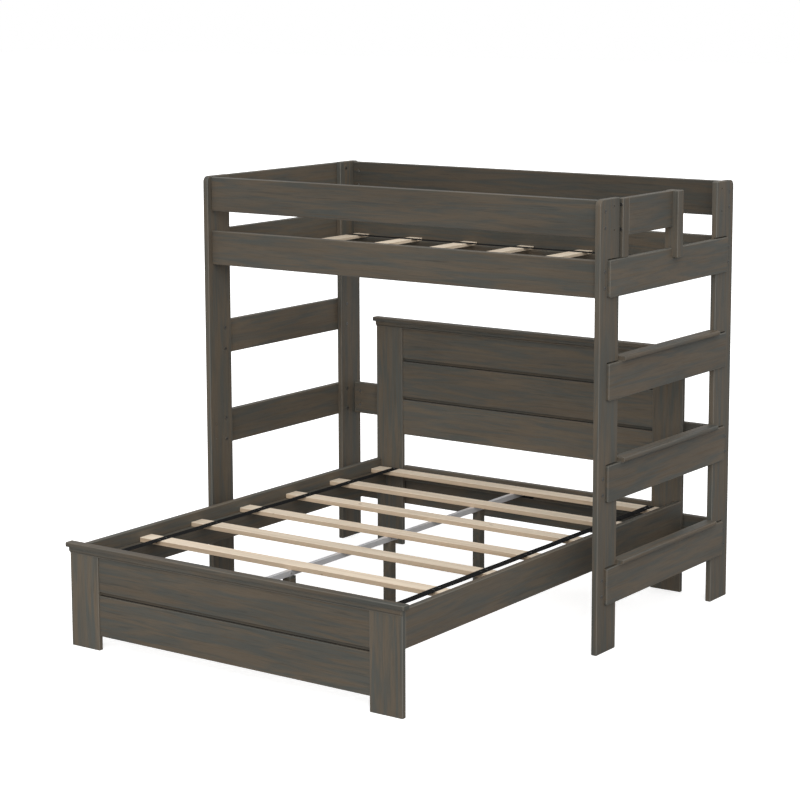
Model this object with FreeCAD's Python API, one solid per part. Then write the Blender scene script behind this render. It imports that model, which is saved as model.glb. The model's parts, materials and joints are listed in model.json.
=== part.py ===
import FreeCAD, Part
import os

# Bunk bed with a ladder end: a twin loft frame and a freestanding queen platform bed that stands
# crosswise underneath it.  Millimetres, +Z up, +X towards the ladder end, -Y towards the foot of
# the queen bed.  The origin is on the floor under the middle of the whole object.

# ---------------------------------------------------------------- driving dimensions
board_width = 146.0
board_thickness = 25.0
edge_radius = 4.0

twin_length = 1905.0
twin_width = 990.0
twin_length_play = 11.0
twin_width_play = 6.0
queen_length = 2032.0
queen_width = 1524.0
queen_length_play = 10.0
queen_width_play = 33.0

# ---------------------------------------------------------------- loft dimensions
post_height = 1782.0
post_top_radius = 25.0
rail_inset = 24.0
guard_top = 1778.0
rail_top = 1547.0
rung_tops = (336.0, 746.0, 1146.0)
back_stretcher_tops = (336.0, 739.0)
left_board_tops = (743.0, 1143.0)

end_board_inset = 60.0
end_board_proud = 10.0
end_board_corner = 8.0
housing_end_gap = 3.0
housing_top_gap = 4.0

tread_depth = 53.0
tread_thickness = 20.0
tread_end_gap = 8.0
tread_nose_radius = 8.0

upright_width = 46.0
entry_upright_proud = 25.0
entry_upright_drop = 38.0

slat_width = 70.0
bed_slat_thickness = 19.0
slat_end_gap = 2.0
slat_edge_radius = 1.5
ledger_edge_radius = 2.0
upper_slat_count = 7
upper_end_space = 23.0
upper_ledger_depth = 25.0
upper_ledger_height = 25.0
upper_slat_top = 1446.0
upper_slat_thickness = 13.0

strap_width = 38.0
strap_thickness = 1.5
strap_from_rail = 70.0
strap_end_in = 5.0

# ---------------------------------------------------------------- queen bed dimensions
leg_thickness = 20.0
leg_edge_radius = 2.5
bed_slat_top = 364.0
bed_slat_count = 7
bed_foot_space = 38.0
bed_head_space = 14.0
bed_ledger_depth = 25.0
bed_strap_from_left = 95.0
bed_strap_from_right = 112.0

plank_height = 163.0
plank_thickness = 10.0
plank_recess = 5.0
plank_groove = 16.0
plank_edge_radius = 1.5
head_planks = 3
foot_planks = 2
head_leg_top = 1046.0
foot_leg_top = 400.0

cap_thickness = 20.0
cap_overhang = 14.0
cap_back_overhang = 6.0
cap_edge_radius = 5.0
moulding_height = 23.0
moulding_depth = 7.0
moulding_lip = 15.0
moulding_toe = 1.0
moulding_hollow_back = 0.70
moulding_hollow_down = 0.36

cross_rail_height = 70.0
head_cross_top = 377.0
cross_rail_recess = 9.0

beam_width = 20.0
beam_height = 22.0
beam_wall = 2.0
beam_leg_size = 38.0
beam_leg_pitch = 667.0
tenon_play = 0.3
tenon_shoulder = 3.0
tenon_root = 5.0
beam_leg_count = 3
bed_back_gap = 13.0

# ---------------------------------------------------------------- fastener dimensions
bolt_shank = 7.0
bolt_head = 15.0
bolt_head_height = 2.0
bolt_hole_play = 0.6
bolt_end_room = 1.0
rail_bolt_spread = 64.0
rail_bolt_reach = 45.0
barrel_nut_diameter = 12.0
barrel_nut_play = 0.4
barrel_nut_length = 18.0
barrel_nut_end_room = 0.2
end_bolt_spread = 93.0
end_bolt_reach = 14.0
end_bolt_from_edge = 104.0
guard_bolt_spread = 96.0
guard_bolt_reach = 30.0
guard_bolt_out = 2.0
upright_screw_length = 28.0

dowel_diameter = 8.0
dowel_play = 0.2
tread_dowel_up = 12.0
tread_dowel_down = 25.0
tread_dowels = 3
upright_dowel_length = 60.0

screw_shank = 4.0
screw_head = 8.0
screw_head_height = 2.5
screw_play = 0.2
seat_wall = 3.0
seat_plate_width = 110.0
seat_plate_height = 46.0
seat_plate_drop = 10.0
seat_depth = 40.0
seat_side_play = 6.0
seat_screw_length = 14.0
beam_screw_length = 14.0

rail_dowel_diameter = 10.0
rail_dowel_length = 46.0
rail_dowel_in_leg = 15.0
rail_dowel_spread = 90.0

# ---------------------------------------------------------------- derived positions
loft_inner_length = twin_length + twin_length_play
loft_inner_width = twin_width + twin_width_play
loft_length = loft_inner_length + 2 * board_thickness
loft_depth = loft_inner_width + 2 * (rail_inset + board_thickness)
bed_inner_length = queen_length + queen_length_play
bed_inner_width = queen_width + queen_width_play
bed_width = bed_inner_width + 2 * board_thickness
side_rail_top = foot_leg_top

# The whole object reaches from the left end boards to the entry upright, and from the cap of the
# footboard to the back edges of the posts.
reach_right = end_board_proud + entry_upright_proud
reach_left = board_thickness
bed_head_front = loft_depth - rail_inset - board_thickness - bed_back_gap - leg_thickness
reach_front = bed_inner_length + leg_thickness + cap_overhang - bed_head_front
loft_mid_x = (reach_left - reach_right) / 2
loft_front = (reach_front - loft_depth) / 2

post_out_right = loft_mid_x + loft_length / 2
post_in_right = post_out_right - board_thickness
post_out_left = loft_mid_x - loft_length / 2
post_in_left = post_out_left + board_thickness
loft_back = loft_front + loft_depth
post_front_inner = loft_front + board_width
post_back_inner = loft_back - board_width
rail_front_out = loft_front + rail_inset
rail_front_in = rail_front_out + board_thickness
rail_back_out = loft_back - rail_inset
rail_back_in = rail_back_out - board_thickness
rail_front_mid = (rail_front_out + rail_front_in) / 2
rail_back_mid = (rail_back_out + rail_back_in) / 2
end_board_front = loft_front + end_board_inset
end_board_back = loft_back - end_board_inset
end_board_out = post_out_right + end_board_proud
end_board_in = end_board_out - board_thickness

head_front = loft_front + bed_head_front
head_back = head_front + leg_thickness
foot_back = head_front - bed_inner_length
foot_front = foot_back - leg_thickness
bed_mid_x = loft_mid_x
bed_left = bed_mid_x - bed_width / 2
bed_right = bed_mid_x + bed_width / 2
bed_slats_from = foot_back + bed_foot_space + slat_width / 2
bed_slats_to = head_front - bed_head_space - slat_width / 2
bed_slat_pitch = (bed_slats_to - bed_slats_from) / (bed_slat_count - 1)
bed_slats_mid_y = (bed_slats_from + bed_slats_to) / 2
bed_mid_y = (foot_back + head_front) / 2
upper_slats_span = loft_inner_length - 2 * upper_end_space - slat_width
upper_slat_pitch = upper_slats_span / (upper_slat_count - 1)
bed_leg_in_left = bed_left + board_width
bed_leg_in_right = bed_right - board_width
side_left_in = bed_left + board_thickness
side_right_in = bed_right - board_thickness
bed_slat_bottom = bed_slat_top - bed_slat_thickness
side_rail_bottom = side_rail_top - board_width
upper_slat_bottom = upper_slat_top - upper_slat_thickness
beam_bottom = bed_slat_bottom - beam_height
head_cross_front = head_front + cross_rail_recess
foot_cross_back = foot_back + leg_thickness

X_AXIS = FreeCAD.Vector(1, 0, 0)
Y_AXIS = FreeCAD.Vector(0, 1, 0)
Z_AXIS = FreeCAD.Vector(0, 0, 1)
AXES = {"x": X_AXIS, "y": Y_AXIS, "z": Z_AXIS}


# ---------------------------------------------------------------- shape helpers
def block(x0, x1, y0, y1, z0, z1):
    return Part.makeBox(x1 - x0, y1 - y0, z1 - z0, FreeCAD.Vector(x0, y0, z0))


def edges_along(shape, axis):
    found = []
    for edge in shape.Edges:
        if len(edge.Vertexes) != 2:
            continue
        run = edge.Vertexes[1].Point.sub(edge.Vertexes[0].Point)
        if run.Length > 0.001 and abs(abs(run.normalize().dot(AXES[axis])) - 1) < 1e-6:
            found.append(edge)
    return found


def eased(shape, radius=edge_radius):
    return shape.makeFillet(radius, shape.Edges)


def board(x0, x1, y0, y1, z0, z1, radius=edge_radius):
    return eased(block(x0, x1, y0, y1, z0, z1), radius)


def rod(diameter, length, start, axis, sign=1):
    direction = AXES[axis] * sign
    return Part.makeCylinder(diameter / 2, length, FreeCAD.Vector(*start), direction)


def headed(shank, head, head_height, length, start, axis, sign):
    # the head stands on the surface at start and the shank runs along axis * sign
    direction = AXES[axis] * sign
    seat = FreeCAD.Vector(*start)
    top = Part.makeCylinder(head / 2, head_height, seat, direction * -1)
    rim = [edge for edge in top.Edges if (edge.CenterOfMass - seat).dot(direction) < -head_height / 2]
    top = top.makeFillet(head_height * 0.6, [edge for edge in rim if edge.Length > head])
    return top.fuse(Part.makeCylinder(shank / 2, length, seat, direction)).removeSplitter()


def bored(shape, tools):
    return shape.cut(tools) if tools else shape


def group(solids):
    return Part.makeCompound(solids)


def row(count, pitch, middle):
    return [middle + (index - (count - 1) / 2) * pitch for index in range(count)]


def pair(middle, spread):
    return (middle - spread / 2, middle + spread / 2)


# ---------------------------------------------------------------- loft: side rails and their bolts
rail_bolts = []
rail_bolt_holes = []
barrel_nuts = []


def rail_bolt_rows(y, top, sides):
    for z in pair(top - board_width / 2, rail_bolt_spread):
        for outer, sign in sides:
            length = board_thickness + rail_bolt_reach
            start = (outer, y, z)
            rail_bolts.append(headed(bolt_shank, bolt_head, bolt_head_height, length, start, "x", sign))
            rail_bolt_holes.append(rod(bolt_shank + bolt_hole_play, length + bolt_end_room, start, "x", sign))


def barrel_nut_row(y_from, y_sign, top):
    holes = []
    for z in pair(top - board_width / 2, rail_bolt_spread):
        for inner, sign in ((post_in_right, -1), (post_in_left, 1)):
            x = inner + sign * (rail_bolt_reach - barrel_nut_diameter)
            start = (x, y_from, z)
            nut = rod(barrel_nut_diameter, barrel_nut_length, start, "y", y_sign)
            bolt_bore = rod(bolt_shank + bolt_hole_play, barrel_nut_diameter * 2,
                            (x - barrel_nut_diameter, y_from + y_sign * board_thickness / 2, z), "x")
            barrel_nuts.append(nut.cut(bolt_bore))
            holes.append(rod(barrel_nut_diameter + barrel_nut_play, barrel_nut_length + barrel_nut_end_room,
                             start, "y", y_sign))
    return holes


def long_board(y0, y1, top, inner_face, outward):
    rail_bolt_rows((y0 + y1) / 2, top, ((post_out_right, -1), (post_out_left, 1)))
    holes = barrel_nut_row(inner_face, outward, top)
    body = board(post_in_left, post_in_right, y0, y1, top - board_width, top)
    return bored(body, holes + rail_bolt_holes)


def front_board(top):
    return long_board(rail_front_out, rail_front_in, top, rail_front_in, -1)


def back_board(top):
    return long_board(rail_back_in, rail_back_out, top, rail_back_in, 1)


parts = {
    "guard_front": front_board(guard_top),
    "side_rail_front": front_board(rail_top),
    "guard_back": back_board(guard_top),
    "side_rail_back": back_board(rail_top),
    "stretcher_back_low": back_board(back_stretcher_tops[0]),
    "stretcher_back_middle": back_board(back_stretcher_tops[1]),
}
# the front posts carry the same low bolts as the back ones, with no stretcher behind them
for spare_top in back_stretcher_tops:
    for spare_z in pair(spare_top - board_width / 2, rail_bolt_spread):
        for outer, sign in ((post_out_right, -1), (post_out_left, 1)):
            start = (outer, rail_front_mid, spare_z)
            stub = board_thickness - bolt_end_room
            rail_bolts.append(headed(bolt_shank, bolt_head, bolt_head_height, stub, start, "x", sign))
            rail_bolt_holes.append(rod(bolt_shank + bolt_hole_play, board_thickness, start, "x", sign))


# ---------------------------------------------------------------- loft: end boards and their bolts
end_bolts = []
end_bolt_holes = []


def end_bolt_set(top, inner, sign, wall):
    for y in (loft_front + end_bolt_from_edge, loft_back - end_bolt_from_edge):
        for z in pair(top - board_width / 2, end_bolt_spread):
            length = wall + end_bolt_reach
            start = (inner, y, z)
            end_bolts.append(headed(bolt_shank, bolt_head, bolt_head_height, length, start, "x", sign))
            end_bolt_holes.append(rod(bolt_shank + bolt_hole_play, length + bolt_end_room, start, "x", sign))


def planted(x0, x1, top):
    body = block(x0, x1, end_board_front, end_board_back, top - board_width, top)
    body = body.makeFillet(end_board_corner, edges_along(body, "x"))
    return eased(body)


right_tops = rung_tops + (rail_top,)
left_tops = left_board_tops + (rail_top, guard_top)
housing_wall = end_board_in - post_in_right
for top in right_tops:
    end_bolt_set(top, post_in_right, 1, housing_wall)
for top in left_tops:
    end_bolt_set(top, post_in_left, -1, board_thickness)
# the right posts have the same holes at guard level, left empty where the ladder end stays open
open_post_holes = [
    rod(bolt_shank + bolt_hole_play, board_thickness, (post_in_right, y, z), "x")
    for y in (loft_front + end_bolt_from_edge, loft_back - end_bolt_from_edge)
    for z in pair(guard_top - board_width / 2, end_bolt_spread)]

for name, top in zip(("end_board_left_low", "end_board_left_middle", "end_rail_left", "end_guard_left"), left_tops):
    body = planted(post_out_left - board_thickness, post_out_left, top)
    parts[name] = bored(body, end_bolt_holes)


# ---------------------------------------------------------------- loft: ladder end
tread_front = post_front_inner + tread_end_gap
tread_back = post_back_inner - tread_end_gap
tread_back_x = post_in_right
dowels = []
dowel_holes = []


def add_dowel(x, y, z0, z1):
    dowels.append(rod(dowel_diameter, z1 - z0, (x, y, z0), "z"))
    dowel_holes.append(rod(dowel_diameter + dowel_play, z1 - z0 + 2 * dowel_play, (x, y, z0 - dowel_play), "z"))


board_mid_x = (end_board_in + end_board_out) / 2
upright_front = post_front_inner + tread_end_gap
upright_mid_y = upright_front + upright_width / 2
entry_front = (loft_front + loft_back) / 2 + 1
entry_back = entry_front + upright_width
for top in rung_tops:
    for y in row(tread_dowels, (tread_back - tread_front) / tread_dowels, (tread_front + tread_back) / 2):
        add_dowel(board_mid_x, y, top - tread_dowel_down, top + tread_dowel_up)
add_dowel(board_mid_x, upright_mid_y, rail_top - upright_dowel_length / 2, rail_top + upright_dowel_length / 2)


def tread(top):
    body = block(tread_back_x, tread_back_x + tread_depth, tread_front, tread_back, top, top + tread_thickness)
    outer = [edge for edge in edges_along(body, "y") if edge.CenterOfMass.x > tread_back_x + 1]
    body = body.makeFillet(tread_nose_radius, outer)
    rest = [edge for edge in body.Edges if edge.CenterOfMass.x < tread_back_x + 1]
    return bored(body.makeFillet(slat_edge_radius, rest), dowel_holes)


for number, top in enumerate(rung_tops, 1):
    body = planted(end_board_in, end_board_out, top)
    parts["rung_board_%d" % number] = bored(body, end_bolt_holes + dowel_holes)
    parts["tread_%d" % number] = tread(top)

screws = []
screw_holes = []


def add_screw(start, axis, sign, length):
    screws.append(headed(screw_shank, screw_head, screw_head_height, length, start, axis, sign))
    screw_holes.append(rod(screw_shank + screw_play, length + bolt_end_room, start, axis, sign))


# the entry upright saddles the end rail and is screwed to it from inside
entry_mid_y = (entry_front + entry_back) / 2
for z in pair(rail_top - entry_upright_drop / 2, entry_upright_drop / 2):
    add_screw((post_in_right, entry_mid_y, z), "x", 1, upright_screw_length)

body = planted(end_board_in, end_board_out, rail_top)
parts["end_rail_right"] = bored(body, end_bolt_holes + dowel_holes + screw_holes)

guard_bottom = guard_top - board_width
guard_bolts = []
guard_bolt_holes = []
for z in pair(guard_top - board_width / 2, guard_bolt_spread):
    for y, sign in ((upright_front, 1), (entry_back, -1)):
        length = upright_width + guard_bolt_reach
        start = (board_mid_x + guard_bolt_out, y, z)
        guard_bolts.append(headed(bolt_shank, bolt_head, bolt_head_height, length, start, "y", sign))
        guard_bolt_holes.append(rod(bolt_shank + bolt_hole_play, length + bolt_end_room, start, "y", sign))

body = board(end_board_in, end_board_out, upright_front + upright_width, entry_front, guard_bottom, guard_top)
parts["end_guard_right"] = bored(body, guard_bolt_holes)
body = board(end_board_in, end_board_out, upright_front, upright_front + upright_width, rail_top, guard_top)
parts["guard_upright_post_side"] = bored(body, guard_bolt_holes + dowel_holes)

entry_bottom = rail_top - entry_upright_drop
body = board(post_in_right, end_board_out + entry_upright_proud, entry_front, entry_back, entry_bottom, guard_top)
notch = block(end_board_in, end_board_out, entry_front - 1, entry_back + 1, entry_bottom - 1, rail_top)
parts["guard_upright_entry_side"] = bored(body.cut(notch), guard_bolt_holes + screw_holes)


# ---------------------------------------------------------------- loft: posts
def post(outer_x, outer_y, inner_y):
    x0, x1 = sorted((outer_x, outer_x - board_thickness if outer_x > loft_mid_x else outer_x + board_thickness))
    y0, y1 = sorted((outer_y, inner_y))
    body = block(x0, x1, y0, y1, 0, post_height)
    corner = [edge for edge in edges_along(body, "x")
              if abs(edge.CenterOfMass.y - outer_y) < 0.01 and edge.CenterOfMass.z > 1]
    body = body.makeFillet(post_top_radius, corner)
    body = eased(body)
    tools = rail_bolt_holes + end_bolt_holes
    if outer_x > loft_mid_x:
        tools = tools + open_post_holes
        y_end = end_board_front - housing_end_gap
        y_stop = inner_y + 1
        if outer_y > inner_y:
            y_end = inner_y - 1
            y_stop = end_board_back + housing_end_gap
        for top in right_tops:
            pocket = block(end_board_in, x1 + 1, y_end, y_stop, top - board_width, top + housing_top_gap)
            tools = tools + [pocket]
    return bored(body, tools)


parts["post_front_right"] = post(post_out_right, loft_front, post_front_inner)
parts["post_back_right"] = post(post_out_right, loft_back, post_back_inner)
parts["post_front_left"] = post(post_out_left, loft_front, post_front_inner)
parts["post_back_left"] = post(post_out_left, loft_back, post_back_inner)
parts["rail_bolts"] = group(rail_bolts)
parts["barrel_nuts"] = group(barrel_nuts)
parts["end_board_bolts"] = group(end_bolts)
parts["guard_bolts"] = group(guard_bolts)
parts["dowels"] = group(dowels)


# ---------------------------------------------------------------- loft: slats, ledgers and straps
ledger_z = (upper_slat_bottom - upper_ledger_height, upper_slat_bottom)
slat_y = (rail_front_in + slat_end_gap, rail_back_in - slat_end_gap)
upper_slat_places = row(upper_slat_count, upper_slat_pitch, loft_mid_x)


def upper_slat(x):
    return board(x - slat_width / 2, x + slat_width / 2, slat_y[0], slat_y[1],
                 upper_slat_bottom, upper_slat_top, slat_edge_radius)


def upper_ledger(y0, y1):
    return board(post_in_left, post_in_right, y0, y1, ledger_z[0], ledger_z[1], ledger_edge_radius)


def upper_strap(y):
    x0 = upper_slat_places[0] - slat_width / 2 + strap_end_in
    x1 = upper_slat_places[-1] + slat_width / 2 - strap_end_in
    return block(x0, x1, y - strap_width / 2, y + strap_width / 2, upper_slat_top, upper_slat_top + strap_thickness)


parts["upper_slats"] = group([upper_slat(x) for x in upper_slat_places])
parts["upper_ledgers"] = group([upper_ledger(rail_front_in, rail_front_in + upper_ledger_depth),
                                upper_ledger(rail_back_in - upper_ledger_depth, rail_back_in)])
parts["upper_straps"] = group([upper_strap(rail_front_in + strap_from_rail),
                               upper_strap(rail_back_in - strap_from_rail)])
parts["upright_screws"] = group(screws)


# ---------------------------------------------------------------- queen bed: headboard and footboard
def moulding(front, top):
    # a strip under the cap: a flat face, then a small hollow that runs back to the face of the legs
    lip_y = front - moulding_depth
    toe_y = front - moulding_toe
    toe_z = top - moulding_height
    hollow_y = lip_y + (toe_y - lip_y) * moulding_hollow_back
    hollow_z = top - moulding_lip - (moulding_height - moulding_lip) * moulding_hollow_down
    corners = [(front, top), (lip_y, top), (lip_y, top - moulding_lip), (hollow_y, hollow_z),
               (toe_y, toe_z), (front, toe_z)]
    back_top, lip, lip_end, hollow, toe, back_toe = [FreeCAD.Vector(bed_left, y, z) for y, z in corners]
    outline = [
        Part.makeLine(back_top, lip),
        Part.makeLine(lip, lip_end),
        Part.Arc(lip_end, hollow, toe).toShape(),
        Part.makeLine(toe, back_toe),
        Part.makeLine(back_toe, back_top),
    ]
    return Part.Face(Part.Wire(outline)).extrude(X_AXIS * bed_width)


def end_panel(prefix, front, leg_top, planks, leg_holes):
    back = front + leg_thickness
    face = front + plank_recess
    for side, x0 in (("left", bed_left), ("right", bed_leg_in_right)):
        leg = board(x0, x0 + board_width, front, back, 0, leg_top, leg_edge_radius)
        parts["%s_leg_%s" % (prefix, side)] = bored(leg, leg_holes)
    pitch = plank_height + plank_groove
    for index in range(planks):
        z1 = leg_top - (planks - 1 - index) * pitch
        plank = board(bed_leg_in_left, bed_leg_in_right, face, face + plank_thickness,
                      z1 - plank_height, z1, plank_edge_radius)
        parts["%s_plank_%d" % (prefix, index + 1)] = plank
    bottom = leg_top - planks * pitch + plank_groove
    parts["%s_backing" % prefix] = block(bed_leg_in_left, bed_leg_in_right, face + plank_thickness, back,
                                         bottom, leg_top)
    parts["%s_cap" % prefix] = board(bed_left - cap_overhang, bed_right + cap_overhang, front - cap_overhang,
                                     back + cap_back_overhang, leg_top, leg_top + cap_thickness, cap_edge_radius)
    parts["%s_moulding" % prefix] = moulding(front, leg_top)


rail_dowels = []
rail_dowel_holes = []
for x in (bed_left + board_thickness / 2, bed_right - board_thickness / 2):
    for z in pair(side_rail_top - board_width / 2, rail_dowel_spread):
        for y, sign in ((foot_back, 1), (head_front, -1)):
            start = (x, y - sign * rail_dowel_in_leg, z)
            rail_dowels.append(rod(rail_dowel_diameter, rail_dowel_length, start, "y", sign))
            bore_start = (x, start[1] - sign * dowel_play, z)
            rail_dowel_holes.append(rod(rail_dowel_diameter + dowel_play, rail_dowel_length + 2 * dowel_play,
                                        bore_start, "y", sign))

end_panel("head", head_front, head_leg_top, head_planks, rail_dowel_holes)
end_panel("foot", foot_front, foot_leg_top, foot_planks, rail_dowel_holes)
parts["bed_rail_dowels"] = group(rail_dowels)


# ---------------------------------------------------------------- queen bed: side rails, slats and straps
def bed_rail(x0, x1):
    body = board(x0, x1, foot_back, head_front, side_rail_bottom, side_rail_top)
    return bored(body, rail_dowel_holes)


def bed_ledger(x0, x1):
    return board(x0, x1, foot_back, head_front, side_rail_bottom, bed_slat_bottom, ledger_edge_radius)


def bed_strap(x):
    y0 = bed_slat_places[0] - slat_width / 2 + strap_end_in
    y1 = bed_slat_places[-1] + slat_width / 2 - strap_end_in
    return block(x - strap_width / 2, x + strap_width / 2, y0, y1, bed_slat_top, bed_slat_top + strap_thickness)


bed_slat_places = row(bed_slat_count, bed_slat_pitch, bed_slats_mid_y)
parts["bed_rail_left"] = bed_rail(bed_left, side_left_in)
parts["bed_rail_right"] = bed_rail(side_right_in, bed_right)
parts["bed_ledgers"] = group([bed_ledger(side_left_in, side_left_in + bed_ledger_depth),
                              bed_ledger(side_right_in - bed_ledger_depth, side_right_in)])
parts["bed_slats"] = group([
    board(side_left_in + slat_end_gap, side_right_in - slat_end_gap, y - slat_width / 2, y + slat_width / 2,
          bed_slat_bottom, bed_slat_top, slat_edge_radius)
    for y in bed_slat_places])
parts["bed_straps"] = group([bed_strap(side_left_in + bed_strap_from_left),
                             bed_strap(side_right_in - bed_strap_from_right)])


# ---------------------------------------------------------------- queen bed: centre beam on three legs
bed_screws = []
bed_screw_holes = []


def add_bed_screw(start, axis, sign, length):
    bed_screws.append(headed(screw_shank, screw_head, screw_head_height, length, start, axis, sign))
    bed_screw_holes.append(rod(screw_shank + screw_play, length + bolt_end_room, start, axis, sign))


seat_z = beam_bottom - seat_wall


def beam_seat(face, sign):
    # a plate on the cross rail with a shelf that the beam rests on
    plate_y = sorted((face, face + sign * seat_wall))
    shelf_y = sorted((face, face + sign * (seat_wall + seat_depth)))
    z0 = seat_z - seat_plate_drop
    half_shelf = beam_width / 2 + seat_side_play
    plate = block(bed_mid_x - seat_plate_width / 2, bed_mid_x + seat_plate_width / 2, plate_y[0], plate_y[1],
                  z0, z0 + seat_plate_height)
    shelf = block(bed_mid_x - half_shelf, bed_mid_x + half_shelf, shelf_y[0], shelf_y[1], seat_z, beam_bottom)
    for x in pair(bed_mid_x, (seat_plate_width + 2 * half_shelf) / 2):
        add_bed_screw((x, face + sign * seat_wall, z0 + seat_plate_height / 2), "y", -sign, seat_screw_length)
    return plate.fuse(shelf).removeSplitter()


def beam_leg(y):
    # the top is trimmed to a tenon that stands inside the channel, up under its web
    half = beam_leg_size / 2
    tenon = beam_width / 2 - beam_wall - tenon_play
    shoulder = half - tenon_shoulder
    foot = board(bed_mid_x - half, bed_mid_x + half, y - half, y + half, 0, beam_bottom, ledger_edge_radius)
    head = block(bed_mid_x - tenon, bed_mid_x + tenon, y - shoulder, y + shoulder, beam_bottom - tenon_root,
                 web_bottom)
    return bored(foot.fuse(head).removeSplitter(), bed_screw_holes)


def cross_rail(x0, x1, y0, top):
    body = board(x0, x1, y0, y0 + leg_thickness, top - cross_rail_height, top, ledger_edge_radius)
    return bored(body, bed_screw_holes)


web_bottom = bed_slat_bottom - beam_wall
leg_places = row(beam_leg_count, beam_leg_pitch, bed_mid_y)
seats = [beam_seat(head_cross_front, -1), beam_seat(foot_cross_back, 1)]
for y in leg_places:
    # from one side, through the channel's wall into the tenon
    add_bed_screw((bed_mid_x + beam_width / 2, y, (beam_bottom + web_bottom) / 2), "x", -1, beam_screw_length)

beam_y = (foot_cross_back + seat_wall, head_cross_front - seat_wall)
beam = block(bed_mid_x - beam_width / 2, bed_mid_x + beam_width / 2, beam_y[0], beam_y[1],
             beam_bottom, bed_slat_bottom)
channel = block(bed_mid_x - beam_width / 2 + beam_wall, bed_mid_x + beam_width / 2 - beam_wall,
                beam_y[0] - 1, beam_y[1] + 1, beam_bottom - 1, web_bottom)
parts["centre_beam"] = beam.cut([channel] + bed_screw_holes)
parts["beam_seats"] = group([bored(seat, bed_screw_holes) for seat in seats])
parts["beam_legs"] = group([beam_leg(y) for y in leg_places])
parts["head_cross_rail"] = cross_rail(bed_leg_in_left, bed_leg_in_right, head_cross_front, head_cross_top)
parts["foot_cross_rail"] = cross_rail(side_left_in + bed_ledger_depth, side_right_in - bed_ledger_depth,
                                      foot_back, bed_slat_bottom)
parts["bed_screws"] = group(bed_screws)


# ---------------------------------------------------------------- write one file per part
os.makedirs("parts", exist_ok=True)
for name, shape in parts.items():
    shape.exportStep("parts/%s.step" % name)
    print(name, len(shape.Solids), shape.isValid())
whole = group(list(parts.values())).optimalBoundingBox(False)
print(len(parts), "parts", whole)
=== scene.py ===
import json
import math

import bpy
from mathutils import Euler, Matrix, Vector

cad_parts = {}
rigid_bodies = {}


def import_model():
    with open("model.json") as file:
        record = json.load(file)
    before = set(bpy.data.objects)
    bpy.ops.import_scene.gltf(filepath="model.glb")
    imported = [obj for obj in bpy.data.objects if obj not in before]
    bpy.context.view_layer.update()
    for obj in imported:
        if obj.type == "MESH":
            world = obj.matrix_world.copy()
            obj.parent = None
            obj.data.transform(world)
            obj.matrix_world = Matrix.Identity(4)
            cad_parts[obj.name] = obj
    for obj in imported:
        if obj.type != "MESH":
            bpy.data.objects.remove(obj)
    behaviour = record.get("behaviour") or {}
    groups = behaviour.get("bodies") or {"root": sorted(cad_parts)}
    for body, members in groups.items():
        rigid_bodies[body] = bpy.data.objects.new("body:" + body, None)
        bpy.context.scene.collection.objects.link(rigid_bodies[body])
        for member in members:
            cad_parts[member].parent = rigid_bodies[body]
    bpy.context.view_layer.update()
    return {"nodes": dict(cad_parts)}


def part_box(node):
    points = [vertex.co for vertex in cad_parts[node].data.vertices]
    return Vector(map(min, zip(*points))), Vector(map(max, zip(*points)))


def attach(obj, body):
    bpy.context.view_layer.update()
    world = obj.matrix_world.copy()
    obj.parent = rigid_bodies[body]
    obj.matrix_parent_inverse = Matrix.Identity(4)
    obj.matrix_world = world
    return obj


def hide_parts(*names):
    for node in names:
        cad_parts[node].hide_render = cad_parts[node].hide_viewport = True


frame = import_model()
nodes = frame["nodes"]
for thing in bpy.data.objects:
    thing.select_set(False)
print("frame loaded:", len(nodes), "nodes")


# ---- shader maths: a socket that adds, multiplies and compares like a number
class Sock:
    def __init__(self, tree, out):
        self.tree = tree
        self.out = out

    def op(self, operation, other=None, flip=False):
        node = self.tree.nodes.new("ShaderNodeMath")
        node.operation = operation
        inputs = [self, other] if not flip else [other, self]
        for slot, value in zip(node.inputs, inputs):
            if isinstance(value, Sock):
                self.tree.links.new(value.out, slot)
            elif value is not None:
                slot.default_value = value
        return Sock(self.tree, node.outputs[0])

    def __add__(self, other): return self.op("ADD", other)
    def __radd__(self, other): return self.op("ADD", other, True)
    def __sub__(self, other): return self.op("SUBTRACT", other)
    def __rsub__(self, other): return self.op("SUBTRACT", other, True)
    def __mul__(self, other): return self.op("MULTIPLY", other)
    def __rmul__(self, other): return self.op("MULTIPLY", other, True)
    def __truediv__(self, other): return self.op("DIVIDE", other)
    def __rtruediv__(self, other): return self.op("DIVIDE", other, True)
    def __lt__(self, other): return self.op("LESS_THAN", other)


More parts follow.
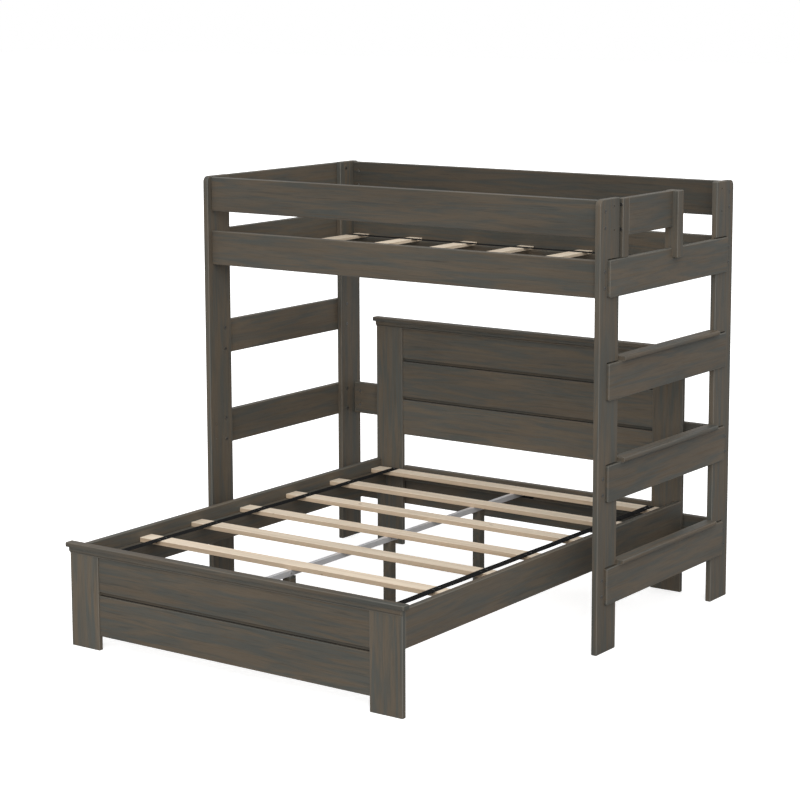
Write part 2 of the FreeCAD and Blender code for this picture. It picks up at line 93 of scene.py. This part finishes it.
class Paint:
    # one material being mixed: its tree, its shader and the node helper
    def __init__(self, name, **fixed):
        self.material = bpy.data.materials.new(name)
        self.material.use_nodes = True
        self.tree = self.material.node_tree
        self.shader = self.tree.nodes["Principled BSDF"]
        for socket, value in fixed.items():
            self.shader.inputs[socket.replace("_", " ")].default_value = value

    def node(self, kind, settings=None, **values):
        made = self.tree.nodes.new("ShaderNode" + kind)
        for key, value in (settings or {}).items():
            setattr(made, key, value)
        for key, value in values.items():
            slot = made.inputs[int(key[1:])] if key[0] == "i" and key[1:].isdigit() else made.inputs[key]
            if isinstance(value, Sock):
                self.tree.links.new(value.out, slot)
            else:
                slot.default_value = value
        return made

    def get(self, kind, output=0, settings=None, **values):
        return Sock(self.tree, self.node(kind, settings, **values).outputs[output])

    def place(self):
        return self.get("TexCoord", "Object")

    def split(self, vector):
        return [Sock(self.tree, out) for out in self.node("SeparateXYZ", None, i0=vector).outputs]

    def grey(self, level):
        return self.get("CombineColor", i0=level, i1=level, i2=level)

    def mapped(self, vector, scale, shift=(0, 0, 0)):
        return self.get("Mapping", i0=vector, Scale=scale, Location=shift)

    def noise(self, vector, scale, detail=3.0, rough=0.5, distort=0.0):
        return self.get("TexNoise", 0, None, Vector=vector, Scale=scale, Detail=detail, Roughness=rough,
                        Distortion=distort)

    def smooth(self, value, low, high, toLow=0.0, toHigh=1.0):
        return self.get("MapRange", 0, {"interpolation_type": "SMOOTHSTEP"}, Value=value,
                        **{"From Min": low, "From Max": high, "To Min": toLow, "To Max": toHigh})

    def blend(self, factor, first, second, kind="MIX"):
        return self.get("Mix", 2, {"data_type": "RGBA", "blend_type": kind}, i0=factor,
                        i6=first if isinstance(first, Sock) else (*first, 1),
                        i7=second if isinstance(second, Sock) else (*second, 1))

    def bump(self, height, strength, distance):
        return self.get("Bump", Height=height, Strength=strength, Distance=distance)

    def feed(self, **links):
        for socket, value in links.items():
            self.tree.links.new(value.out, self.shader.inputs[socket.replace("_", " ")])
        return self.material


def axisOrder(box):
    # the board's own axes, longest first
    size = [box[1][k] - box[0][k] for k in range(3)]
    return sorted(range(3), key=lambda k: -size[k])


# ---- dark stained boards: grey-brown streaks along the grain, cool patches, edges lightened partly as worn stain and partly as painted highlight, painted shade along the foot of each backing groove
stain = {
    "warm": (0.132, 0.106, 0.077),
    "brown": (0.118, 0.086, 0.056),
    "cool": (0.089, 0.091, 0.081),
    # the last colour on this line is painted shade for the gaps at the foot of the backing grooves
    "dark": (0.062, 0.057, 0.047), "gapShade": (0.026, 0.023, 0.019),
    # the lighter edge colour and how strongly it is laid on: partly rubbed stain, partly a painted highlight on
    # the rounded arrises
    "edge": (0.215, 0.200, 0.172), "wearAndHighlight": 0.45,
    "patchLength": 0.38, "patchWidth": 0.030,
    "streakLength": 0.30, "streakWidth": 0.0085,
    "grainLength": 0.07, "grainWidth": 0.0013,
    "sway": 0.016, "edgeWidth": 0.0042, "edgeRagged": 0.003, "gapShadeHalf": 0.0026, "gapShadeUp": 0.0015,
    "roughness": 0.50, "relief": 0.0006,
}


def nearEdge(axes, box):
    # how near a point is to an edge of the board: the middle one of its three distances to the faces
    gaps = [(box[1][k] - box[0][k]) / 2 - (axes[k] - (box[0][k] + box[1][k]) / 2).op("ABSOLUTE") for k in range(3)]
    lower = gaps[0].op("MINIMUM", gaps[1])
    upper = gaps[0].op("MAXIMUM", gaps[1])
    return lower.op("MAXIMUM", upper.op("MINIMUM", gaps[2]))


def stainedBoard(name, long, seed, toneAndShade=1.0, wornAndHighlit=1.0, gapShadeLines=()):
    paint = Paint("stain." + name, Roughness=stain["roughness"], Specular_IOR_Level=0.32)
    where = paint.place()
    axes = paint.split(where)
    shift = (seed * 3.17 % 11, seed * 5.41 % 13, seed * 7.93 % 17)
    swayScale = [9.0, 9.0, 9.0]
    swayScale[long] = 1.6
    swayPlace = paint.mapped(where, swayScale, shift)
    sway = paint.get("TexNoise", "Color", None, Vector=swayPlace, Scale=1.0, Detail=2.0)
    swayed = paint.get("VectorMath", 0, {"operation": "MULTIPLY_ADD"}, i0=sway, i1=[stain["sway"]] * 3, i2=where)

    def along(length, width):
        scale = [1 / width] * 3
        scale[long] = 1 / length
        return paint.mapped(swayed, scale, shift)

    patches = paint.noise(along(stain["patchLength"], stain["patchWidth"]), 1.0, 4, 0.55, 0.9)
    streaks = paint.noise(along(stain["streakLength"], stain["streakWidth"]), 1.0, 5, 0.62, 0.5)
    grain = paint.noise(along(stain["grainLength"], stain["grainWidth"]), 1.0, 3, 0.65)
    broad = paint.noise(along(0.9, 0.16), 1.0, 2, 0.5)
    colour = paint.blend(paint.smooth(patches, 0.36, 0.66), stain["warm"], stain["cool"])
    colour = paint.blend(paint.smooth(streaks, 0.50, 0.70) * 0.55, colour, stain["brown"])
    colour = paint.blend(paint.smooth(streaks, 0.26, 0.48, 0.62, 0.0), colour, stain["dark"])
    colour = paint.blend(paint.smooth(grain, 0.50, 0.70) * 0.42, colour, stain["dark"])
    # the board's brightness factor is partly its own tone and partly painted light and shade
    level = paint.smooth(broad, 0.32, 0.68, 0.93 * toneAndShade, 1.08 * toneAndShade)
    colour = paint.blend(1.0, colour, paint.grey(level), "MULTIPLY")
    # painted shade: a dark line at each given height, for the shadowed gap at the foot of a groove
    for gapShade in gapShadeLines:
        inGapShade = paint.smooth((axes[2] - gapShade).op("ABSOLUTE"), stain["gapShadeHalf"] * 0.6, stain["gapShadeHalf"], 1, 0)
        colour = paint.blend(inGapShade, colour, stain["gapShade"])
    # edges lightened partly as worn stain and partly as a painted highlight where the rounded arrises catch the
    # light
    edge = nearEdge(axes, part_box(name)) + (streaks - 0.5) * stain["edgeRagged"]
    wearAndHighlight = paint.smooth(edge, 0.0008, stain["edgeWidth"], 1, 0)
    colour = paint.blend(wearAndHighlight * (stain["wearAndHighlight"] * wornAndHighlit), colour, stain["edge"])
    rough = paint.smooth(streaks, 0.35, 0.7, stain["roughness"] - 0.06, stain["roughness"] + 0.09)
    relief = paint.bump(streaks * 0.6 + grain * 0.4, 0.30, stain["relief"])
    return paint.feed(Base_Color=colour, Roughness=rough, Normal=relief)


# ---- pine slats: pale planed tops, sides darkened as painted shade (deep on the bed slats, slight on the loft slats), each slat from another plank
slat = {"width": 0.070, "count": 7}
pine = {
    "light": (0.84, 0.72, 0.57), "late": (0.68, 0.54, 0.40), "knot": (0.24, 0.13, 0.07),
    # side colours: painted shade multiplied onto the slat sides, deep for the bed slats, slight for the loft slats
    "side": {"lower": (0.74, 0.67, 0.60), "upper": (0.96, 0.93, 0.89)}, "ringWidth": 0.011,
    "plankShift": 7.0, "plankTone": 0.12, "sideFrom": 0.0022, "sideTo": 0.0006, "roughness": 0.66,
}


def sawnPine(name, long, seed, top=None, pitch=None, across=0, start=0.0):
    paint = Paint("pine." + name, Roughness=pine["roughness"], Specular_IOR_Level=0.25)
    where = paint.place()
    axes = paint.split(where)
    shift = (seed * 2.3, seed * 1.7, seed * 4.1)
    if pitch:
        plank = ((axes[across] - start) / pitch).op("ROUND")
        offset = paint.get("TexWhiteNoise", "Color", {"noise_dimensions": "1D"}, W=plank + seed)
        far = [pine["plankShift"]] * 3
        where = paint.get("VectorMath", 0, {"operation": "MULTIPLY_ADD"}, i0=offset, i1=far, i2=where)

    def along(length, width):
        scale = [1 / width] * 3
        scale[long] = 1 / length
        return paint.mapped(where, scale, shift)

    rings = paint.noise(along(0.9, pine["ringWidth"]), 1.0, 2, 0.5, 0.9)
    fine = paint.noise(along(0.10, 0.0011), 1.0, 3, 0.6)
    broad = paint.noise(along(0.5, 0.07), 1.0, 2, 0.5)
    knots = paint.noise(along(0.045, 0.032), 1.0, 1, 0.4)
    colour = paint.blend(paint.smooth(rings, 0.46, 0.66) * 0.55, pine["light"], pine["late"])
    colour = paint.blend(paint.smooth(fine, 0.50, 0.72) * 0.30, colour, pine["late"])
    colour = paint.blend(paint.smooth(knots, 0.785, 0.83) * 0.7, colour, pine["knot"])
    level = paint.smooth(broad, 0.3, 0.7, 0.94, 1.05)
    if pitch:
        own = paint.get("TexWhiteNoise", 0, {"noise_dimensions": "1D"}, W=plank + seed)
        level = level * (own * pine["plankTone"] + (1 - pine["plankTone"] / 2))
    colour = paint.blend(1.0, colour, paint.grey(level), "MULTIPLY")
    # painted shade: the slat sides below the top edge take the darker side colour
    if top:
        side = paint.smooth(axes[2], top - pine["sideFrom"], top - pine["sideTo"], 1, 0)
        colour = paint.blend(side, colour, pine["side"][name], "MULTIPLY")
    relief = paint.bump(rings * 0.3 + fine * 0.7, 0.35, 0.0005)
    return paint.feed(Base_Color=colour, Normal=relief)


def plainMetal(name, colour, roughness, long, metallic=1.0, brush=0.0008):
    paint = Paint("metal." + name, Metallic=metallic, Roughness=roughness)
    scale = [1 / brush] * 3
    scale[long] = 1 / (brush * 60)
    lines = paint.noise(paint.mapped(paint.place(), scale), 1.0, 3, 0.6)
    smudge = paint.noise(paint.place(), 22.0, 3, 0.55)
    rough = paint.smooth(lines, 0.3, 0.7, roughness - 0.08, roughness + 0.08) + (smudge - 0.5) * 0.16
    tint = paint.blend(paint.smooth(lines, 0.3, 0.7) * 0.30, colour, tuple(c * 0.78 for c in colour))
    return paint.feed(Base_Color=tint, Roughness=rough, Normal=paint.bump(lines, 0.15, 0.0002))


# ---- woven webbing: fine ribs across the band, a raised selvedge at each side
def webbingCloth(name, long, edges, pitch=0.0018):
    paint = Paint("webbing." + name, Roughness=0.92, Specular_IOR_Level=0.12)
    axes = paint.split(paint.place())
    run = axes[long]
    across = axes[1 - long]
    wale = (across * (2 * math.pi / pitch)).op("SINE")
    rib = (run * (2 * math.pi / (pitch * 1.5)) + wale * 1.3).op("SINE")
    height = wale * 0.5 + rib * 0.5
    for middle, half in edges:
        fromMiddle = (across - middle).op("ABSOLUTE")
        height = height + paint.smooth(fromMiddle, half - 0.0022, half - 0.0014) * (fromMiddle < half + 0.002)
    fade = paint.noise(paint.mapped(paint.place(), (30, 30, 30)), 1.0, 2)
    # painted shade: the weave's hollows are coloured darker than its ribs
    colour = paint.blend(paint.smooth(height, -1.0, 1.0), (0.004, 0.004, 0.004), (0.014, 0.014, 0.015))
    colour = paint.blend(paint.smooth(fade, 0.45, 0.7) * 0.35, colour, (0.018, 0.018, 0.018))
    return paint.feed(Base_Color=colour, Normal=paint.bump(height, 0.7, 0.0004))


def paintNode(name, material):
    node = nodes[name]
    node.data.materials.clear()
    node.data.materials.append(material)


def slatRow(name, across):
    # first slat's middle and the pitch, read from the box round the whole row
    low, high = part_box(name)
    return low[across] + slat["width"] / 2, (high[across] - low[across] - slat["width"]) / (slat["count"] - 1)


upperStart, upperPitch = slatRow("upper_slats", 0)
bedStart, bedPitch = slatRow("bed_slats", 1)
groups = {
    "upper_slats": lambda: sawnPine("upper", 1, 1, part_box("upper_slats")[1][2], upperPitch, 0, upperStart),
    "bed_slats": lambda: sawnPine("lower", 0, 2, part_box("bed_slats")[1][2], bedPitch, 1, bedStart),
    "dowels": lambda: sawnPine("dowels", 2, 3),
    "bed_rail_dowels": lambda: sawnPine("railDowels", 1, 4),
    "barrel_nuts": lambda: plainMetal("nuts", (0.55, 0.55, 0.54), 0.35, 1),
    "centre_beam": lambda: plainMetal("beam", (0.75, 0.75, 0.77), 0.50, 1, 0.5),
    "beam_seats": lambda: plainMetal("seats", (0.045, 0.044, 0.043), 0.50, 0),
}
# how bright each board is where it differs from the rest, partly its own tone and partly painted light and shade
# (guard_back darkened as painted shade inside the loft, the head and end boards lightened as painted light), and
# how worn and highlit the edges of each kind of board are
boardToneAndPaintedShade = {
    "guard_front": 0.84, "guard_back": 0.62, "side_rail_front": 0.93, "side_rail_back": 0.85,
    "end_board_left_middle": 1.14, "end_rail_right": 1.10,
    "foot_cap": 0.90, "foot_leg_left": 1.20, "foot_leg_right": 1.15, "foot_backing": 0.90,
    "head_plank_1": 1.22, "head_plank_2": 1.12, "head_plank_3": 1.08, "head_leg_left": 1.12, "head_backing": 0.90,
}
wornAndHighlit = {"plank": 0.3, "backing": 0.0}
replaced = ("rail_bolts", "end_board_bolts", "guard_bolts", "upright_screws", "bed_screws", "upper_straps",
            "bed_straps")
for seed, name in enumerate(sorted(nodes)):
    if name in replaced:
        continue
    if name in groups:
        paintNode(name, groups[name]())
        continue
    kind = name.split("_")[1]
    gapShadeLines = []
    if kind == "backing":
        # painted shade: a fine dark line along the foot of each groove, where the gap between the backing and the
        # plank below lies in shadow
        planks = [plank for plank in sorted(nodes) if plank.startswith(name.split("_")[0] + "_plank")]
        gapShadeLines = [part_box(plank)[1][2] + stain["gapShadeUp"] for plank in planks]
    long = axisOrder(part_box(name))[0]
    paintNode(name, stainedBoard(name, long, seed + 1, boardToneAndPaintedShade.get(name, 1.0), wornAndHighlit.get(kind, 1.0), gapShadeLines))
print("boards, slats and beam painted")


# ---- modelling helpers
def deselect():
    for thing in bpy.data.objects:
        thing.select_set(False)


def takeOver(piece):
    deselect()
    piece.select_set(True)
    bpy.context.view_layer.objects.active = piece


def applyModifiers(piece):
    takeOver(piece)
    for modifier in list(piece.modifiers):
        bpy.ops.object.modifier_apply(modifier=modifier.name)


def applyPlace(piece):
    takeOver(piece)
    bpy.ops.object.transform_apply(location=True, rotation=True, scale=True)


def joinAll(pieces, name):
    deselect()
    for piece in pieces:
        piece.select_set(True)
    bpy.context.view_layer.objects.active = pieces[0]
    bpy.ops.object.join()
    joined = bpy.context.object
    joined.name = name
    applyPlace(joined)
    return joined


def carve(piece, cutter):
    cut = piece.modifiers.new("recess", "BOOLEAN")
    cut.operation = "DIFFERENCE"
    cut.solver = "EXACT"
    cut.object = cutter
    applyModifiers(piece)
    bpy.data.objects.remove(cutter, do_unlink=True)


def editFaces(piece, chosen):
    # in edit mode with only the chosen faces selected
    takeOver(piece)
    bpy.ops.object.mode_set(mode="EDIT")
    bpy.ops.mesh.select_mode(type="FACE")
    bpy.ops.mesh.select_all(action="DESELECT")
    bpy.ops.object.mode_set(mode="OBJECT")
    for face in piece.data.polygons:
        face.select = chosen(face)
    bpy.ops.object.mode_set(mode="EDIT")


# ---- bolts with socket heads, screws with cross heads
bolt = {
    "head": 0.0150, "height": 0.0022, "shank": 0.0070, "length": 0.024, "rim": 0.0007,
    "socket": 0.0058, "socketDepth": 0.0016, "sides": 40,
    "colour": (0.22, 0.215, 0.205), "roughness": 0.38,
}
screw = {
    "head": 0.0080, "height": 0.0020, "shank": 0.0040, "length": 0.012, "rim": 0.0006,
    "socket": 0.0046, "slot": 0.0012, "socketDepth": 0.0013, "sides": 28,
    "colour": (0.56, 0.56, 0.55), "roughness": 0.34,
}


def makeFastener(spec, cross):
    # stands on z = 0 with its shank below, the head domed and recessed
    bpy.ops.mesh.primitive_cylinder_add(vertices=spec["sides"], radius=spec["head"] / 2, depth=spec["height"],
                                        location=(0, 0, spec["height"] / 2))
    head = bpy.context.object
    editFaces(head, lambda face: face.normal.z > 0.9)
    bpy.ops.mesh.bevel(offset=spec["rim"], segments=3, profile=0.6)
    bpy.ops.object.mode_set(mode="OBJECT")
    editFaces(head, lambda face: face.normal.z < -0.9)
    bpy.ops.mesh.inset(thickness=(spec["head"] - spec["shank"]) / 2, depth=0)
    bpy.ops.mesh.extrude_region_move(TRANSFORM_OT_translate={"value": (0, 0, -spec["length"])})
    bpy.ops.object.mode_set(mode="OBJECT")
    floor = spec["height"] - spec["socketDepth"]
    if cross:
        for turn in (0, 90):
            bpy.ops.mesh.primitive_cube_add(size=1, location=(0, 0, floor + 0.01))
            cutter = bpy.context.object
            cutter.scale = (spec["socket"], spec["slot"], 0.02)
            cutter.rotation_euler = (0, 0, math.radians(turn))
            applyPlace(cutter)
            carve(head, cutter)
    else:
        bpy.ops.mesh.primitive_cylinder_add(vertices=6, radius=spec["socket"] / 2, depth=0.02,
                                            location=(0, 0, floor + 0.01))
        carve(head, bpy.context.object)
    takeOver(head)
    bpy.ops.object.shade_smooth_by_angle(angle=math.radians(32))
    return head


def fasten(name, spec, master, spots, node, body, long):
    # one copy at each spot, its head facing out along the given direction
    copies = []
    for place, facing in spots:
        copied = master.copy()
        copied.data = master.data.copy()
        bpy.context.scene.collection.objects.link(copied)
        copied.location = place
        copied.rotation_euler = Vector(facing).to_track_quat("Z", "Y").to_euler()
        applyPlace(copied)
        copies.append(copied)
    piece = joinAll(copies, name)
    piece.data.materials.append(plainMetal(name, spec["colour"], spec["roughness"], long))
    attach(piece, body)
    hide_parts(node)


def middle(name, axis):
    low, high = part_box(name)
    return (low[axis] + high[axis]) / 2


spread = {"rail": 0.064, "end": 0.093, "guard": 0.096, "endFromEdge": 0.104, "guardOut": 0.002}
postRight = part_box("post_front_right")
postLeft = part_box("post_front_left")
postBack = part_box("post_back_right")
railSpots = []
for name in ("guard_front", "side_rail_front", "guard_back", "side_rail_back", "stretcher_back_low",
             "stretcher_back_middle"):
    rows = [middle(name, 1)]
    if name.startswith("stretcher"):
        rows.append(middle("guard_front", 1))
    for y in rows:
        for z in (middle(name, 2) - spread["rail"] / 2, middle(name, 2) + spread["rail"] / 2):
            railSpots.append(((postRight[1][0], y, z), (1, 0, 0)))
            railSpots.append(((postLeft[0][0], y, z), (-1, 0, 0)))
endSpots = []
endRows = (postRight[0][1] + spread["endFromEdge"], postBack[1][1] - spread["endFromEdge"])
for names, x, facing in (
        (("rung_board_1", "rung_board_2", "rung_board_3", "end_rail_right"), postRight[0][0], (-1, 0, 0)),
        (("end_board_left_low", "end_board_left_middle", "end_rail_left", "end_guard_left"), postLeft[1][0],
         (1, 0, 0))):
    for name in names:
        for y in endRows:
            for z in (middle(name, 2) - spread["end"] / 2, middle(name, 2) + spread["end"] / 2):
                endSpots.append(((x, y, z), facing))
guardSpots = []
for z in (middle("end_guard_right", 2) - spread["guard"] / 2, middle("end_guard_right", 2) + spread["guard"] / 2):
    x = middle("end_guard_right", 0) + spread["guardOut"]
    guardSpots.append(((x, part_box("guard_upright_post_side")[0][1], z), (0, -1, 0)))
    guardSpots.append(((x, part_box("guard_upright_entry_side")[1][1], z), (0, 1, 0)))
boltMaster = makeFastener(bolt, False)
fasten("railBoltHeads", bolt, boltMaster, railSpots, "rail_bolts", "loft", 2)
fasten("endBoltHeads", bolt, boltMaster, endSpots, "end_board_bolts", "loft", 2)
fasten("guardBoltHeads", bolt, boltMaster, guardSpots, "guard_bolts", "loft", 2)
bpy.data.objects.remove(boltMaster, do_unlink=True)

# screws: two through the back of the end rail, two in each beam seat, one in each beam leg
seat = {"plate": 0.110, "wall": 0.003, "sidePlay": 0.006}
screwMaster = makeFastener(screw, True)
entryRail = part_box("end_rail_right")[1][2]
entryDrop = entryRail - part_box("guard_upright_entry_side")[0][2]
entryY = middle("guard_upright_entry_side", 1)
uprightSpots = [((postRight[0][0], entryY, entryRail - share * entryDrop), (-1, 0, 0)) for share in (0.25, 0.75)]
fasten("uprightScrewHeads", screw, screwMaster, uprightSpots, "upright_screws", "loft", 2)
beamLow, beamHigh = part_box("centre_beam")
seatLow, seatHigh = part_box("beam_seats")
seatMiddle = (seatLow[2] + seatHigh[2]) / 2
halfShelf = (beamHigh[0] - beamLow[0]) / 2 + seat["sidePlay"]
apart = (seat["plate"] + 2 * halfShelf) / 4
bedScrewSpots = []
for side in (-1, 1):
    for y, facing in ((seatHigh[1] - seat["wall"], (0, -1, 0)), (seatLow[1] + seat["wall"], (0, 1, 0))):
        bedScrewSpots.append(((middle("centre_beam", 0) + side * apart, y, seatMiddle), facing))
legLow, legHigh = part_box("beam_legs")
beamLeg = {"half": 0.019, "screwDrop": 0.001}
for share in (0, 0.5, 1):
    y = legLow[1] + beamLeg["half"] + share * (legHigh[1] - legLow[1] - 2 * beamLeg["half"])
    bedScrewSpots.append(((beamHigh[0], y, (beamLow[2] + beamHigh[2]) / 2 - beamLeg["screwDrop"]), (1, 0, 0)))
fasten("bedScrewHeads", screw, screwMaster, bedScrewSpots, "bed_screws", "queen_bed", 2)
bpy.data.objects.remove(screwMaster, do_unlink=True)
print("bolts and screws made:", len(railSpots) + len(endSpots) + len(guardSpots), "bolts")


# ---- webbing straps, dipping a little between the slats, with two staples on every slat
strap = {
    "width": 0.038, "thick": 0.0013, "dip": 0.0010, "steps": 6, "rim": 0.0004,
    "crown": 0.011, "wire": 0.0013, "rise": 0.0009, "leg": 0.0011, "fromEdge": 0.016,
}


def makeStrap(name, long, centre, low, high, top, first, pitch):
    bpy.ops.mesh.primitive_plane_add(size=1, location=(0, 0, 0))
    band = bpy.context.object
    size = [strap["width"]] * 2
    size[long] = high - low
    band.scale = (*size, 1)
    place = [centre] * 2
    place[long] = (low + high) / 2
    band.location = (*place, top + strap["thick"] / 2)
    applyPlace(band)
    cuts = []
    gap = pitch - slat["width"]
    for row in range(slat["count"] - 1):
        edge = first + row * pitch + slat["width"] / 2
        cuts += [edge + gap * step / strap["steps"] for step in range(strap["steps"] + 1)]
    takeOver(band)
    bpy.ops.object.mode_set(mode="EDIT")
    normal = [0, 0, 0]
    normal[long] = 1
    for cut in cuts:
        point = [0, 0, 0]
        point[long] = cut
        bpy.ops.mesh.select_all(action="SELECT")
        bpy.ops.mesh.bisect(plane_co=point, plane_no=normal)
    bpy.ops.object.mode_set(mode="OBJECT")
    for vert in band.data.vertices:
        along = (vert.co[long] - first) / pitch
        inGap = (along - math.floor(along) - slat["width"] / 2 / pitch) / (1 - slat["width"] / pitch)
        if 0 < inGap < 1 and 0 < along < slat["count"] - 1:
            vert.co.z -= strap["dip"] * 4 * inGap * (1 - inGap)
    wall = band.modifiers.new("wall", "SOLIDIFY")
    wall.thickness = strap["thick"]
    wall.offset = 0
    rim = band.modifiers.new("rim", "BEVEL")
    rim.width = strap["rim"]
    rim.segments = 2
    rim.limit_method = "ANGLE"
    applyModifiers(band)
    takeOver(band)
    bpy.ops.object.shade_smooth_by_angle(angle=math.radians(40))
    return band


def makeStaple(long):
    # a flat crown with a leg going down at each end
    bpy.ops.mesh.primitive_cube_add(size=1)
    crown = bpy.context.object
    size = [strap["crown"]] * 2
    size[long] = strap["wire"]
    crown.scale = (*size, strap["rise"])
    applyPlace(crown)
    across = 1 - long
    legMiddle = strap["crown"] / 2 - strap["wire"]
    normal = [0, 0, 0]
    normal[across] = 1
    takeOver(crown)
    bpy.ops.object.mode_set(mode="EDIT")
    for side in (-1, 1):
        point = [0, 0, 0]
        point[across] = side * legMiddle
        bpy.ops.mesh.select_all(action="SELECT")
        bpy.ops.mesh.bisect(plane_co=point, plane_no=normal)
    bpy.ops.object.mode_set(mode="OBJECT")
    editFaces(crown, lambda face: face.normal.z < -0.9 and abs(face.center[across]) > legMiddle)
    bpy.ops.mesh.extrude_region_move(TRANSFORM_OT_translate={"value": (0, 0, -strap["leg"])})
    bpy.ops.object.mode_set(mode="OBJECT")
    rim = crown.modifiers.new("rim", "BEVEL")
    rim.width = strap["rise"] * 0.35
    rim.segments = 2
    applyModifiers(crown)
    return crown


def strapPair(name, node, slats, long, first, pitch, body):
    low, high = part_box(node)
    across = 1 - long
    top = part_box(slats)[1][2]
    centres = (low[across] + strap["width"] / 2, high[across] - strap["width"] / 2)
    bands = [makeStrap(name, long, centre, low[long], high[long], top, first, pitch) for centre in centres]
    piece = joinAll(bands, name)
    piece.data.materials.append(webbingCloth(name, long, [(centre, strap["width"] / 2) for centre in centres]))
    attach(piece, body)
    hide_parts(node)
    master = makeStaple(long)
    staples = []
    for centre in centres:
        for row in range(slat["count"]):
            for side in (-1, 1):
                copied = master.copy()
                copied.data = master.data.copy()
                bpy.context.scene.collection.objects.link(copied)
                place = [centre] * 2
                place[long] = first + row * pitch + side * (slat["width"] / 2 - strap["fromEdge"])
                copied.location = (*place, top + strap["thick"] + strap["rise"] * 0.3)
                applyPlace(copied)
                staples.append(copied)
    bpy.data.objects.remove(master, do_unlink=True)
    pins = joinAll(staples, name + "Staples")
    pins.data.materials.append(plainMetal(name + "Staples", (0.40, 0.40, 0.40), 0.38, long))
    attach(pins, body)


strapPair("upperWebbing", "upper_straps", "upper_slats", 0, upperStart, upperPitch, "loft")
strapPair("bedWebbing", "bed_straps", "bed_slats", 1, bedStart, bedPitch, "queen_bed")
print("webbing and staples made")


# ---- floor, light and camera
stage = {
    "floor": (0.965, 0.965, 0.965), "floorBounce": (0.35, 0.35, 0.35), "floorGlow": (0.62, 0.62, 0.62),
    "sky": (1.0, 1.0, 1.0), "skyLight": 0.55,
    "camera": (5.2451, -7.3262, 2.5817), "turn": 35.4202, "down": 8.4674, "roll": -0.175, "lens": 100.796,
    "shiftY": -0.10,
}
suns = {
    "front": {"from": (0.50, -0.75, 0.42), "strength": 1.57, "spread": 50},
    "overhead": {"from": (0.10, -0.15, 0.98), "strength": 0.70, "spread": 60},
}


def raySeen(tree):
    # 1 where the camera looks at a thing directly, 0 where the thing only lights others
    return Sock(tree, tree.nodes.new("ShaderNodeLightPath").outputs["Is Camera Ray"])


def addFloor():
    bpy.ops.mesh.primitive_plane_add(size=120, location=(0, 0, 0))
    floor = bpy.context.object
    floor.name = "floor"
    paint = Paint("floorPaint", Roughness=0.9, Specular_IOR_Level=0.0, Emission_Strength=1.0)
    speckle = paint.noise(paint.place(), 40.0, 2, 0.5)
    darker = tuple(c * 0.99 for c in stage["floor"])
    shown = paint.blend(paint.smooth(speckle, 0.3, 0.7) * 0.5, stage["floor"], darker)
    seen = raySeen(paint.tree)
    floor.data.materials.append(paint.feed(
        Base_Color=paint.blend(seen, stage["floorBounce"], shown),
        Emission_Color=paint.blend(seen, (0, 0, 0), stage["floorGlow"])))
    floor.select_set(False)


def addSun(name, place):
    sun = bpy.data.lights.new(name, "SUN")
    sun.energy = place["strength"]
    sun.angle = math.radians(place["spread"])
    holder = bpy.data.objects.new(name, sun)
    bpy.context.scene.collection.objects.link(holder)
    holder.rotation_euler = Vector(place["from"]).to_track_quat("Z", "Y").to_euler()


def addWorld():
    # the backdrop shows plain white and lights the room more softly than it looks
    world = bpy.data.worlds.new("studio")
    world.use_nodes = True
    tree = world.node_tree
    backdrop = tree.nodes["Background"]
    backdrop.inputs[0].default_value = (*stage["sky"], 1)
    strength = raySeen(tree) * (1 - stage["skyLight"]) + stage["skyLight"]
    tree.links.new(strength.out, backdrop.inputs[1])
    bpy.context.scene.world = world


def addCamera():
    eye = bpy.data.cameras.new("eye")
    eye.sensor_width = 36
    eye.lens = stage["lens"]
    eye.shift_y = stage["shiftY"]
    holder = bpy.data.objects.new("eye", eye)
    bpy.context.scene.collection.objects.link(holder)
    aim = Euler((math.radians(90 - stage["down"]), 0, math.radians(stage["turn"]))).to_matrix()
    turned = aim @ Matrix.Rotation(math.radians(stage["roll"]), 3, "Z")
    holder.location = stage["camera"]
    holder.rotation_euler = turned.to_euler()
    bpy.context.scene.camera = holder


addFloor()
addWorld()
for name, place in suns.items():
    addSun(name, place)
addCamera()
bpy.context.scene.view_settings.view_transform = "Standard"
print("floor, light and camera set")
